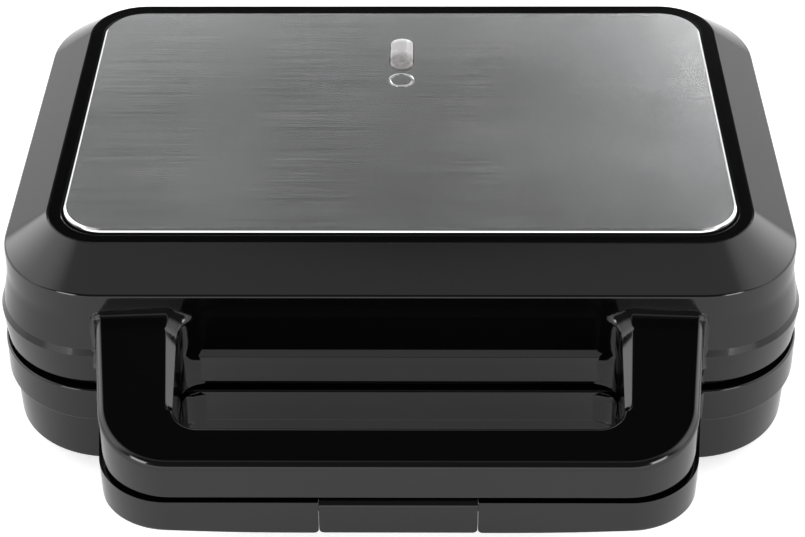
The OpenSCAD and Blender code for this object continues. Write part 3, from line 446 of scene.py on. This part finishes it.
brushed_steel = steel("brushed_steel", (0.60, 0.605, 0.61), 0.15, 0.008, 0.05)
cut_steel = moulded("cut_steel", (0.88, 0.88, 0.88), 0.08, spread=0.03, depth=0.002, metal=1.0)
bm = sweep(rounded([(PANEL_IN, PANEL_UNDER, 0), (PANEL_R, PANEL_UNDER, 0),
                    (PANEL_R - PANEL_CUT, PANEL_Z - EASE_DROP, 0),
                    (PANEL_R - PANEL_CUT - PANEL_EASE, PANEL_Z, 0),
                    (PANEL_IN, PANEL_Z, 0)]), PANEL_CORE)
bmesh.ops.translate(bm, verts=bm.verts, vec=(0, PANEL_BACK, 0))
for f in bm.faces:
    f.material_index = int(0.2 < f.normal.z < 0.95)  # the facet is cut steel
for z in (PANEL_UNDER, PANEL_Z):
    rim = [e for e in bm.edges if e.is_boundary and all(abs(v.co.z - z) < 1e-4 for v in e.verts)]
    hole = oblong(bm, LENS_W + LENS_GAP, LENS_L + LENS_GAP, z, LENS_Y)
    bmesh.ops.bridge_loops(bm, edges=rim + hole)
bmesh.ops.bridge_loops(bm, edges=[e for e in bm.edges if e.is_boundary])
bead = bmesh.ops.create_circle(bm, cap_ends=False, segments=12, radius=BEAD_R)["verts"]
bmesh.ops.scale(bm, verts=bead, vec=(1, BEAD_RISE, 1))
bmesh.ops.rotate(bm, verts=bead, matrix=Matrix.Rotation(pi / 2, 3, "X"))
bmesh.ops.translate(bm, verts=bead, vec=(RING_R, RING_Y, PANEL_Z))
bmesh.ops.spin(bm, geom=bead + edges_of(bead), cent=(0, RING_Y, PANEL_Z), axis=(0, 0, 1),
               angle=2 * pi, steps=64, use_merge=True, use_duplicate=False)
panel = placed(bm, "steel_panel", brushed_steel, sharp=25)
panel.data.materials.append(cut_steel)
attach(panel, "lid")
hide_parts("steel_top_panel")


# Lens: one milk-white moulding over both lamps, a low dome with round ends that stands a
# millimetre proud of the steel. It passes light, so its finish scatters under the skin. Its
# front part carries painted shade: its colour is darker there, fading to milk white behind.
LENS_RISE, LENS_STEPS, LENS_EDGE = 1.3, 9, 0.25  # a flat of twice this is left on the crown
LENS_PAINTED_SHADE, LENS_MILK = (0.28, 0.27, 0.27), (0.56, 0.565, 0.57)  # painted shade in front of the lamps, the lens's own milk white over them
# The painted shade fades out between these two places, from front to back.
SHADE_FADE_FROM, SHADE_FADE_TO = LENS_Y - 5, LENS_Y + 1
milk = Finish(bpy.data.materials.new("milky_lens"))
spot = milk.add("TexCoord", out=3)
haze = milk.add("TexNoise", None, {"Vector": spot, "Scale": 260.0, "Detail": 3.0})
depth = Value(milk.tree, milk.add("SeparateXYZ", None, {"Vector": spot}).socket.node.outputs[1])
painted_shade_fade = milk.step(depth, (BODY_Y + SHADE_FADE_FROM) * MM, (BODY_Y + SHADE_FADE_TO) * MM)
milk.add("OutputMaterial", None, {"Surface": milk.add("BsdfPrincipled", None, {
    # Painted shade: the front of the lens is coloured darker, as if in shadow, fading to milk white
    # behind.
    "Base Color": milk.blend(painted_shade_fade * (0.9 + 0.1 * haze), LENS_PAINTED_SHADE, LENS_MILK),
    "Roughness": 0.22 + 0.1 * haze,
    "Subsurface Weight": 0.35,
    "Subsurface Scale": 0.004,
    "Coat Weight": 0.3,
    "Normal": milk.add("Bump", None, {"Strength": 0.15, "Distance": 0.02 * MM, "Height": haze})})})
bm = bmesh.new()
rim = oblong(bm, LENS_W, LENS_L, DECK_UNDER, 0)
skin = bmesh.ops.holes_fill(bm, edges=rim, sides=0)["faces"]
wall = bmesh.ops.extrude_face_region(bm, geom=skin, use_keep_orig=True)["geom"]
lift = [v for v in wall if isinstance(v, bmesh.types.BMVert)]
bmesh.ops.translate(bm, verts=lift, vec=(0, 0, PANEL_Z - DECK_UNDER))
crown = [f for f in wall if isinstance(f, bmesh.types.BMFace)]
bmesh.ops.recalc_face_normals(bm, faces=bm.faces)
for i in range(LENS_STEPS):
    now, then = (pi / 2 * k / LENS_STEPS for k in (i, i + 1))
    bmesh.ops.inset_region(bm, faces=crown, use_even_offset=True, use_boundary=True,
                           thickness=(cos(now) - cos(then)) * (LENS_W / 2 - LENS_EDGE),
                           depth=(sin(then) - sin(now)) * LENS_RISE)
bmesh.ops.translate(bm, verts=bm.verts, vec=(0, LENS_Y, 0))
lens = placed(bm, "lens", milk.owner, sharp=60)
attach(lens, "lid")
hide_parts("indicator_lens")


# Upper handle: a U-shaped moulding in the same glossy black, bolted to the front of the lid.
# It grows out of the wall through a hollow curve and slopes away to the front. Its flat under
# side has seats for two covers, and a chamber with a catch for the clip's tongue.
HANDLE_Z, UPPER_HALF, UPPER_H, UPPER_SLOPE = 41.5, 96.0, 14.5, 15.0
FRONT_Y, ROOT_Y = -154.0, -94.0
SPLAY = 7.7  # how much wider than in front it is at the wall
BAR_D, ARM_IN, ARM_DRAFT = 14.2, 73.9, 1.6  # depth of the bar, half width of the opening
OUTER_R, INNER_R, CORNER_SHARE = 24.0, 9.5, 0.9  # corners, eased over this share of them
NOTCH_BACK, NOTCH_REACH = -143.7, 60  # a notch in the front bar ends inside these
OUTER_EASE, INNER_EASE, UNDER_EASE = 2.6, 1.2, 0.7
COVER_LIP, COVER_T, COVER_END, COVER_SLIP = 2.0, 1.6, -105.0, 0.15
UPPER_NOTCH = 11.0  # half width of the gap between the covers
CHAMBER_W, CHAMBER_TOP = 10.0, 47.8  # half width and top of the room for the tongue
CATCH, CATCH_EASE = ((-8, -152.2, 42.3), (8, -150.9, 44.4)), 0.15
CHAMFER_Y, CHAMFER_RUN, CHAMFER_SLOPE = -133.5, 4, 0.65  # it flattens the opening's edges
CHAMFER = (2.1, 4.3)  # its width in front and behind
CHAMFER_CUTS = (0, 0.4, 0.9, 1.6, 2.6, 4, 8, 13, 18, 23, 28)
ROOT_SLICES = [-95.8 - d * d / 14 for d in range(13)]  # closer together near the wall
ROOT_FROM, ROOT_LAYERS, ROOT_FULL = -107, 14, 75.4


def lid_wall(z):
    """How far outside the core the lid's wall stands at a height."""
    for (out, low), (next_out, high) in zip(LID_WALL, LID_WALL[1:]):
        if z < high:
            return out + (next_out - out) * max(0, (z - low) / (high - low))
    return WALL_OUT


def u_plan(half_w, flat_z, front_notch=0):
    """The U-shaped outline of a handle as one face, its corners rounded."""
    bm = bmesh.new()
    half = [(half_w, FRONT_Y), (half_w + SPLAY, ROOT_Y), (ARM_IN + ARM_DRAFT, ROOT_Y),
            (ARM_IN, FRONT_Y + BAR_D)]
    if front_notch:
        half = [(front_notch, NOTCH_BACK), (front_notch, FRONT_Y)] + half
    plan = half + [(-x, y) for x, y in reversed(half)]
    bm.faces.new([bm.verts.new((x, y, flat_z)) for x, y in plan])
    for front, radius in ((FRONT_Y, OUTER_R), (FRONT_Y + BAR_D, INNER_R)):
        corners = [v for v in bm.verts
                   if abs(v.co.y - front) < 1e-4 and abs(v.co.x) > NOTCH_REACH]
        bmesh.ops.bevel(bm, geom=corners, offset=radius * CORNER_SHARE, offset_type="OFFSET",
                        affect="VERTICES", segments=18, profile=0.5, material=-1,
                        clamp_overlap=False)
    return bm


def grip(half_w, flat_z, height, slope, front_notch=0):
    """A handle's solid: its plan, raised by its height and its slope."""
    bm = u_plan(half_w, flat_z, front_notch)
    far = bmesh.ops.extrude_face_region(bm, geom=bm.faces[:])["geom"]
    sloping = [v for v in far if isinstance(v, bmesh.types.BMVert)]
    for v in sloping:
        v.co.z += height + (v.co.y - FRONT_Y) * tan(radians(slope))
    bmesh.ops.recalc_face_normals(bm, faces=bm.faces)
    return bm, sloping


def at_root(v):
    return abs(v.co.y - ROOT_Y) < 0.01


def rim_edges(bm, sloping, outside, notch=0):
    """Edges round the sloping face, on the outside of the U or on its inside."""
    rim = set(sloping)

    def fits(v):
        is_out = abs(v.co.x) > (ARM_IN + UPPER_HALF) / 2 or v.co.y < FRONT_Y + BAR_D / 2
        return is_out == outside

    return [e for e in bm.edges if set(e.verts) <= rim and all(map(fits, e.verts))
            and not all(map(at_root, e.verts)) and e.calc_face_angle(0) > 0.5
            and not (notch and all(abs(v.co.x) < notch + 0.1 for v in e.verts))]


def cut(bm, faces, place, way):
    """Cuts faces along a plane, and returns the faces that it leaves."""
    edges = list({e for f in faces for e in f.edges})
    verts = list({v for e in edges for v in e.verts})
    made = bmesh.ops.bisect_plane(bm, geom=faces + edges + verts, plane_co=place, plane_no=way)
    return [g for g in made["geom"] if isinstance(g, bmesh.types.BMFace)]


def cover_seat(bm, flat_z, lip, cuts):
    """Divides the flat side of a handle inside a lip, and returns the faces of its two cover
    seats and those of the part between the first cuts across the bar."""
    flat = [f for f in bm.faces if all(abs(v.co.z - flat_z) < 0.01 for v in f.verts)]
    bmesh.ops.inset_region(bm, faces=flat, use_even_offset=True, use_boundary=True, thickness=lip)
    flat = cut(bm, flat, (0, COVER_END, 0), (0, 1, 0))
    for x in cuts:
        for side in (-1, 1):
            flat = cut(bm, flat, (side * x, 0, 0), (1, 0, 0))
    middle = {f: f.calc_center_median() for f in flat}
    seats = [f for f in flat if middle[f].y < COVER_END and abs(middle[f].x) > cuts[-1]]
    return seats, [f for f in flat if abs(middle[f].x) < cuts[0]]


def sink(bm, faces, depth):
    """Lays copies of faces at a depth, with walls round them. The faces themselves stay, as a
    skin over the pocket."""
    made = bmesh.ops.extrude_face_region(bm, geom=faces)["geom"]
    moved = [v for v in made if isinstance(v, bmesh.types.BMVert)]
    bmesh.ops.translate(bm, verts=moved, vec=(0, 0, depth))


def block(bm, low, high, ease):
    """Adds a block between two corners, its edges eased."""
    made = bmesh.ops.create_cube(bm, size=1)["verts"]
    bmesh.ops.scale(bm, verts=made, vec=[b - a for a, b in zip(low, high)])
    bmesh.ops.translate(bm, verts=made, vec=[(a + b) / 2 for a, b in zip(low, high)])
    ease_edges(bm, edges_of(made), ease, 3)


def slice_up(bm, places, axis, behind=FRONT_Y):
    """Cuts the part of a mesh behind a place across an axis, so that it can bend there."""
    for place in places:
        faces = [f for f in bm.faces if all(v.co.y > behind - 0.01 for v in f.verts)]
        cut(bm, faces, place * axis, axis)


def root(bm, wall, outer, inner, rise, flat):
    """Spreads a handle out where it meets its wall, in a hollow curve that grows from the
    outer radius to the inner one. Its upper side (1) or its under side (-1) stays flat."""
    slice_up(bm, ROOT_SLICES, Vector((0, 1, 0)))
    low_z, high_z = (f(v.co.z for v in bm.verts if v.co.y > ROOT_FROM) for f in (min, max))
    layers = [low_z + (high_z - low_z) * i / ROOT_LAYERS for i in range(1, ROOT_LAYERS)]
    slice_up(bm, layers, Vector((0, 0, 1)), ROOT_FROM)
    bm.normal_update()
    edge = UPPER_HALF + SPLAY
    moves = {}
    for v in bm.verts:
        near = max(0, -CORE[1] - wall(v.co.z) - v.co.y)
        inward = min(1, max(0, (edge - abs(v.co.x)) / (edge - ROOT_FULL)))
        reach = outer + (inner - outer) * inward ** 2
        if near >= reach or abs(v.normal.y) > 0.9:
            continue
        spread = reach - sqrt(reach * reach - (reach - near) ** 2)
        way = Vector((v.normal.x, 0, v.normal.z * rise / inner if v.normal.z * flat < 0 else 0))
        moves[v] = way * spread
    for v, move in moves.items():
        v.co += move


bm, sloping = grip(UPPER_HALF, HANDLE_Z, UPPER_H, UPPER_SLOPE)
outer, inner = rim_edges(bm, sloping, True), rim_edges(bm, sloping, False)
under = [e for e in bm.edges if not set(e.verts) & set(sloping) and e.calc_face_angle(0) > 0.5
         and not all(map(at_root, e.verts))]
ease_edges(bm, outer, OUTER_EASE, 7)
ease_edges(bm, inner, INNER_EASE, 7)
ease_edges(bm, under, UNDER_EASE, 3)
seats, chamber = cover_seat(bm, HANDLE_Z, COVER_LIP - COVER_SLIP - UNDER_EASE,
                            [CHAMBER_W, UPPER_NOTCH])
sink(bm, seats, COVER_T)
sink(bm, chamber, CHAMBER_TOP - HANDLE_Z)
block(bm, *CATCH, CATCH_EASE)
slice_up(bm, [CHAMFER_Y + d for d in CHAMFER_CUTS], Vector((0, 1, 0)))
for side in (-1, 1):
    for start, end in [[w * share for w in CHAMFER] for share in (0.2, 0.4, 0.6, 0.8, 1)]:
        along = Vector((side * (ARM_DRAFT + end - start), ROOT_Y - FRONT_Y - BAR_D, 0))
        way = along.cross(Vector((0, 0, 1))).normalized()
        place = Vector((side * (ARM_IN + start), FRONT_Y + BAR_D, 0))
        slice_up(bm, [place.dot(way)], way)
for v in bm.verts:
    top = HANDLE_Z + UPPER_H + (v.co.y - FRONT_Y) * tan(radians(UPPER_SLOPE))
    run = (v.co.y - FRONT_Y - BAR_D) / (ROOT_Y - FRONT_Y - BAR_D)
    fade = min(1, max(0, (v.co.y - CHAMFER_Y) / CHAMFER_RUN))
    wide = (CHAMFER[0] + (CHAMFER[1] - CHAMFER[0]) * run) * sqrt(fade * (2 - fade))
    d = abs(v.co.x) - ARM_IN - ARM_DRAFT * run
    if v.co.y > CHAMFER_Y - 0.1 and v.co.z > top - INNER_EASE - 0.1 and -0.6 < d < wide:
        v.co.z = min(v.co.z, top - CHAMFER_SLOPE * (wide - max(d, 0)))
root(bm, lid_wall, outer=2.4, inner=8.0, rise=4.0, flat=-1)
upper_grip = placed(bm, "upper_grip", housing_black)
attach(upper_grip, "lid")
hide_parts("upper_handle")


# Covers of the upper handle: two flat strips of satin black plastic that close its hollow
# arms from below. Each sits in its seat inside a thin lip.
def cover(half_w, flat_z, depth, notch):
    """The plates that close a handle's flat side, drawn like its seat but a little smaller."""
    bm = u_plan(half_w, flat_z)
    seats, _ = cover_seat(bm, flat_z, COVER_LIP, [notch])
    bmesh.ops.delete(bm, geom=[f for f in bm.faces if f not in seats], context="FACES")
    sink(bm, seats, depth)
    bmesh.ops.recalc_face_normals(bm, faces=bm.faces)
    rim = [e for e in bm.edges if e.calc_face_angle(0) > 0.5
           and all(abs(v.co.z - flat_z) < 0.01 for v in e.verts)]
    ease_edges(bm, rim, 0.2, 2)
    return bm


cover_black = moulded("cover_black", (0.008, 0.008, 0.009), 0.32, depth=0.04)
upper_cover = placed(cover(UPPER_HALF, HANDLE_Z, COVER_T, UPPER_NOTCH), "upper_cover", cover_black)
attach(upper_cover, "lid")
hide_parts("upper_handle_cover")


# Screws of the upper covers: four small countersunk screws of zinc-plated steel, with cross
# recesses. They hold the covers from below.
GRIP_SCREWS = [(x, y) for x in (-87.5, 87.5) for y in (-134.0, -112.0)]
HEAD_R, SHANK_R, SCREW_L, HEAD_OUT = 2.6, 1.4, 9, 0.15
RECESS_SHARE, RECESS_DEPTH, HEAD_RIM = 0.5, 0.4, 0.15  # the first two as shares of the head


def screws(flat_z, way):
    """The cover screws on a handle's flat side, their heads up (1) or down (-1). A skin stays
    over their cross recesses."""
    bm = bmesh.new()
    for at in GRIP_SCREWS:
        before = set(bm.verts)
        grid = bmesh.ops.create_grid(bm, x_segments=3, y_segments=3,
                                     size=HEAD_R * RECESS_SHARE)["verts"]
        cells = {f for v in grid for f in v.link_faces}
        cross = [f for f in cells if min(map(abs, f.calc_center_median().xy)) < 0.01]
        outline = [e for v in grid for e in v.link_edges if e.is_boundary]
        sink(bm, cross, -RECESS_DEPTH * HEAD_R)
        rim = bmesh.ops.create_circle(bm, cap_ends=False, segments=24, radius=HEAD_R)["verts"]
        loop = edges_of(rim)
        bmesh.ops.bridge_loops(bm, edges=list(set(outline)) + loop)
        for size, drop in ((1, -HEAD_RIM), (SHANK_R / HEAD_R, SHANK_R - HEAD_R),
                           (1, HEAD_R - SCREW_L)):
            loop = pulled(bm, loop, (0, 0, drop))
            bmesh.ops.scale(bm, verts=list({v for e in loop for v in e.verts}),
                            vec=(size, size, 1))
        bmesh.ops.holes_fill(bm, edges=loop, sides=0)
        made = [v for v in bm.verts if v not in before]
        if way < 0:
            bmesh.ops.rotate(bm, verts=made, matrix=Matrix.Rotation(pi, 3, "X"))
        bmesh.ops.translate(bm, verts=made, vec=(*at, flat_z + way * HEAD_OUT))
    return bm


zinc = moulded("zinc_steel", (0.52, 0.53, 0.55), 0.28, spread=0.1, metal=1.0)
upper_screws = placed(screws(HANDLE_Z, -1), "upper_grip_screws", zinc)
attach(upper_screws, "lid")
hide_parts("upper_cover_screws")


# Base housing: the lower moulding, in the lid's glossy black. Its upper edge bulges out in a
# broad flange under the lid, its wall drops from a step to the floor of the toaster, and two
# pairs of lugs at the back hold the hinge pins.
BASE_Z, BASE_TOP, STEP_Z = 6.0, 40.0, 26.0
BULGE_OUT, LOWER_OUT = 40.2, 38.2
FLOOR_TOP, FLOOR_Z, FLOOR_IN, RECESS_OUT = 9.6, 7.8, 12, 18.4  # the bottom cover's recess
BASE_SQUARE = 1.5
CHEEK_X, CHEEK_W = 14.8, 7.0  # the lugs, each this far beside the lid's
BASE_WEB = [(-4.4, 1), (-8.4, -1.5), (-8.4, -18), (-4.4, -16), (2.6, -8)]
# (out, height, corner radius): in along the top, down the inside of the wall and in along
# the floor, then out under it and up the outside to the flange.
BASE_SECTION = [
    (BULGE_OUT - 0.3, BASE_TOP, 0.8), (LOWER_OUT - WALL, BASE_TOP, 0.3),
    (LOWER_OUT - WALL, STEP_Z, 1), (LOWER_OUT - WALL, FLOOR_TOP, 0.6), (FLOOR_IN, FLOOR_TOP, 0),
    (FLOOR_IN, FLOOR_Z, 0), (RECESS_OUT, FLOOR_Z, 0), (RECESS_OUT, BASE_Z, 0),
    (LOWER_OUT - 0.3, BASE_Z, 1.6), (LOWER_OUT, STEP_Z - 0.2, 0.5), (BULGE_OUT, STEP_Z + 0.6, 0.7)]
bm = sweep(rounded(BASE_SECTION), closed=True, square=BASE_SQUARE)
for side in (-1, 1):
    for end in (-1, 1):
        prism(bm, lug(-30, 170, BASE_WEB), side * HINGE_X + end * CHEEK_X, CHEEK_W, LUG_EASE)
base_shell = placed(bm, "base_shell", housing_black)
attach(base_shell, "base")
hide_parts("base_housing")


# Lower handle: the same U in the same glossy plastic, but shallower, and bolted to the base.
# A notch in the front of its bar takes the latch clip.
LOWER_TOP, LOWER_HALF, LOWER_H, LOWER_SLOPE = 39.5, 97.4, 13.6, -6.0
LOWER_OUTER_EASE, LOWER_INNER_EASE = 1.8, 1.5
LOWER_NOTCH = 32.0  # half width of the gap between its covers
CLIP_W, CLIP_SLOT, CLIP_ROUND = 52.0, 0.12, 1.6
NOTCH_HALF = CLIP_W / 2 + CLIP_SLOT


def base_wall(z):
    """How far outside the core the base's wall stands at a height."""
    return BULGE_OUT if z > STEP_Z else LOWER_OUT


bm, sloping = grip(LOWER_HALF, LOWER_TOP, -LOWER_H, LOWER_SLOPE, NOTCH_HALF)
outer = rim_edges(bm, sloping, True, NOTCH_HALF)
inner = rim_edges(bm, sloping, False)
notch = [e for e in bm.edges if set(e.verts) <= set(sloping)
         and all(abs(abs(v.co.x) - NOTCH_HALF) < 0.01 for v in e.verts)]
ease_edges(bm, notch, CLIP_ROUND, 5)
ease_edges(bm, outer, LOWER_OUTER_EASE, 5)
ease_edges(bm, inner, LOWER_INNER_EASE, 4)
seats, _ = cover_seat(bm, LOWER_TOP, COVER_LIP - COVER_SLIP, [LOWER_NOTCH])
sink(bm, seats, -COVER_T)
root(bm, base_wall, outer=1.2, inner=8.0, rise=1.0, flat=1)
lower_grip = placed(bm, "lower_grip", housing_black)
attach(lower_grip, "base")
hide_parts("lower_handle")


# Covers and screws of the lower handle: the same satin black strips, laid in its flat upper
# side, and the same zinc-plated screws from above. The gap between the covers is wider,
# because the clip and its pin lie there.
lower_cover = placed(cover(LOWER_HALF, LOWER_TOP, -COVER_T, LOWER_NOTCH), "lower_cover",
                     cover_black)
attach(lower_cover, "base")
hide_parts("lower_handle_cover")

lower_screws = placed(screws(LOWER_TOP, 1), "lower_grip_screws", zinc)
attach(lower_screws, "base")
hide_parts("lower_cover_screws")


# Latch clip: a glossy black finger tab, moulded, let into the lower handle on a steel pin. Its
# tongue reaches up into the upper handle, where the nib at its end holds the lid down.
CLIP_SIDE = [(-154, 26, 0), (-151.8, 26, 0), (-151.8, 34, 1), (-149.5, 34.1, 1),
             (-146.6, 34.1, 2.8), (-146.6, 39.6, 2.8), (-154, 39.6, 3.2)]  # (y, z, radius)
TONGUE, NIB = ((-8, -149.6, 37), (8, -147.8, 46.6)), ((-8, -150.6, 44.8), (8, -149.2, 46.6))
bm = bmesh.new()
prism(bm, rounded(CLIP_SIDE), 0, CLIP_W, 0.3, CLIP_ROUND)
for low, high in (TONGUE, NIB):
    block(bm, low, high, 0.2)
clip = placed(bm, "clip", housing_black)
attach(clip, "latch")
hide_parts("latch_clip")


# Rubber feet and cord bush: dull black rubber, moulded. The feet's stems are pushed up into
# the base, and the bush into the rear wall from outside.
def finish_solids(finish, *nodes):
    """Gives a finish to pieces whose solids show as they are."""
    for node in nodes:
        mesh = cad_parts[node].data
        mesh.materials.clear()
        mesh.materials.append(finish)


finish_solids(moulded("foot_rubber", (0.014, 0.014, 0.014), 0.7, depth=0.08),
              "rubber_feet", "cord_inlet_bush")


# Liners and bottom cover: heat-proof satin black plastic. The liners carry the cooking plates
# inside the mouldings, and the slotted cover closes the base from below.
finish_solids(moulded("dark_satin", (0.012, 0.012, 0.013), 0.42, depth=0.05),
              "upper_liner", "lower_liner", "bottom_cover")


# Cooking plates: die-cast aluminium with two bread pockets each, sprayed with a dark grey
# non-stick coating that has a fine grain, and screwed to the liners.
finish_solids(moulded("nonstick", (0.020, 0.020, 0.021), 0.34, scale=140, depth=0.06),
              "upper_cooking_plate", "lower_cooking_plate")


# Heating elements: steel tubes, browned by heat, each bent into one loop on the backs of the
# pans, its two ends turned back to the rear.
finish_solids(moulded("element_sheath", (0.20, 0.185, 0.17), 0.5, metal=1.0),
              "upper_heating_element", "lower_heating_element")


# Heat shields: thin bright aluminium sheet with a folded rim, on posts behind the elements.
# They keep the heat on the plates and off the mouldings.
finish_solids(moulded("shield_aluminium", (0.78, 0.79, 0.80), 0.3, spread=0.08, metal=1.0),
              "upper_heat_shield", "lower_heat_shield")


# Larger screws, bolts and pins: zinc-plated steel like the small screws. The pins are plain
# rod: two in the lugs at the back, and one across the lower handle for the clip.
finish_solids(zinc, "upper_plate_screws", "lower_plate_screws", "upper_handle_bolts",
              "lower_handle_bolts", "bottom_cover_screws", "hinge_pins", "latch_pin")


# Lamp holder and terminal block: pale ceramic, pressed and fired. The holder hangs under the
# lens, and the block, three screw clamps in a row, stands on the floor of the base.
finish_solids(moulded("ceramic", (0.72, 0.70, 0.64), 0.5, spread=0.06),
              "lamp_holder", "terminal_block")


# Neon lamps: two small glass bulbs with round ends, pushed into the holder under the lens.
# Unlit, the glass looks a dull amber.
finish_solids(moulded("lamp_glass", (0.75, 0.40, 0.18), 0.08, spread=0.1), "neon_lamps")


# Thermostat: a brown ceramic disc with a terminal on either side, held against the back of
# the right-hand pan of the lid. It switches the elements.
finish_solids(moulded("brown_ceramic", (0.30, 0.22, 0.14), 0.5), "thermostat")


# Thermal fuse: a small drawn brass can with a wire at each end, on the back of the left-hand
# pan of the lid. It cuts the current for good if the thermostat fails.
finish_solids(moulded("brass", (0.68, 0.48, 0.20), 0.3, metal=1.0), "thermal_fuse")


def corners(box):
    return [[float(x) for x in corner] for corner in box]


{"cad": corners(cad_box), "visual": corners(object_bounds())}
